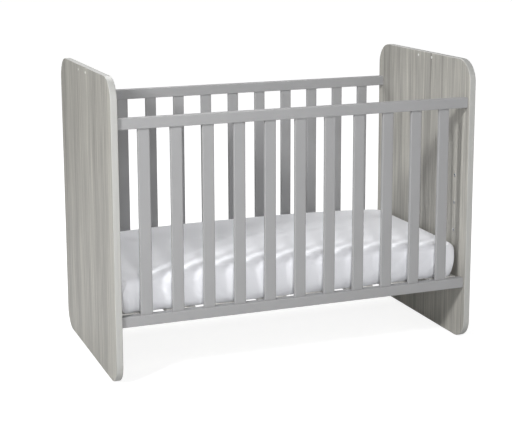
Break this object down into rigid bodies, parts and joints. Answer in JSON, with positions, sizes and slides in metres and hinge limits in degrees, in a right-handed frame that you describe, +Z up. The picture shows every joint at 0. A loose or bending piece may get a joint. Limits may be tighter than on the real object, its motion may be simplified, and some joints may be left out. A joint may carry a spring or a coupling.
{
  "type": "baby crib",
  "caption": "Baby crib with two solid rounded end panels, barred long sides, a slatted base bolted at a choice of heights and a lift-out mattress.",
  "frame": {"origin": "on the floor, under the centre of the crib", "axes": "+X along the crib towards the right end panel, +Y from the front side to the back side, +Z up"},
  "size_m": [1.244, 0.672, 0.962],
  "materials": {
    "panel_laminate": "satin grey-wash oak laminate with upright grain",
    "grey_lacquer": "satin grey lacquer on beech",
    "mattress_cover": "white woven cotton fitted sheet over foam",
    "white_pine": "white lacquer on planed pine",
    "zinc_steel": "bright zinc-plated steel",
    "white_nylon": "moulded white nylon"
  },
  "bodies": {
    "crib_frame": {"accessory_sleeve_left_back": "white_nylon", "accessory_sleeve_left_front": "white_nylon", "accessory_sleeve_right_back": "white_nylon", "accessory_sleeve_right_front": "white_nylon", "back_bottom_rail": "grey_lacquer", "back_slat_01": "grey_lacquer", "back_slat_02": "grey_lacquer", "back_slat_03": "grey_lacquer", "back_slat_04": "grey_lacquer", "back_slat_05": "grey_lacquer", "back_slat_06": "grey_lacquer", "back_slat_07": "grey_lacquer", "back_slat_08": "grey_lacquer", "back_slat_09": "grey_lacquer", "back_slat_10": "grey_lacquer", "back_slat_11": "grey_lacquer", "back_top_rail": "grey_lacquer", "end_panel_left": "panel_laminate", "end_panel_right": "panel_laminate", "front_bottom_rail": "grey_lacquer", "front_slat_01": "grey_lacquer", "front_slat_02": "grey_lacquer", "front_slat_03": "grey_lacquer", "front_slat_04": "grey_lacquer", "front_slat_05": "grey_lacquer", "front_slat_06": "grey_lacquer", "front_slat_07": "grey_lacquer", "front_slat_08": "grey_lacquer", "front_slat_09": "grey_lacquer", "front_slat_10": "grey_lacquer", "front_slat_11": "grey_lacquer", "front_top_rail": "grey_lacquer", "pin_back_bottom_rail_left": "zinc_steel", "pin_back_bottom_rail_right": "zinc_steel", "pin_back_top_rail_left": "zinc_steel", "pin_back_top_rail_right": "zinc_steel", "pin_front_bottom_rail_left": "zinc_steel", "pin_front_bottom_rail_right": "zinc_steel", "pin_front_top_rail_left": "zinc_steel", "pin_front_top_rail_right": "zinc_steel"},
    "mattress_base": {"base_bolt_left_back": "zinc_steel", "base_bolt_left_front": "zinc_steel", "base_bolt_right_back": "zinc_steel", "base_bolt_right_front": "zinc_steel", "base_end_batten_left": "white_pine", "base_end_batten_right": "white_pine", "base_side_batten_back": "white_pine", "base_side_batten_front": "white_pine", "base_slat_1": "white_pine", "base_slat_2": "white_pine", "base_slat_3": "white_pine", "base_slat_4": "white_pine", "base_slat_5": "white_pine", "base_slat_6": "white_pine", "base_slat_7": "white_pine", "base_slat_8": "white_pine"},
    "mattress": {"mattress": "mattress_cover"}
  },
  "joints": [
    {"name": "base_height", "type": "slide", "parent": "crib_frame", "child": "mattress_base", "axis": [0, 0, 1], "range_m": [0, 0.384]},
    {"name": "mattress_lift", "type": "slide", "parent": "mattress_base", "child": "mattress", "axis": [0, 0, 1], "range_m": [0, 0.65]}
  ]
}
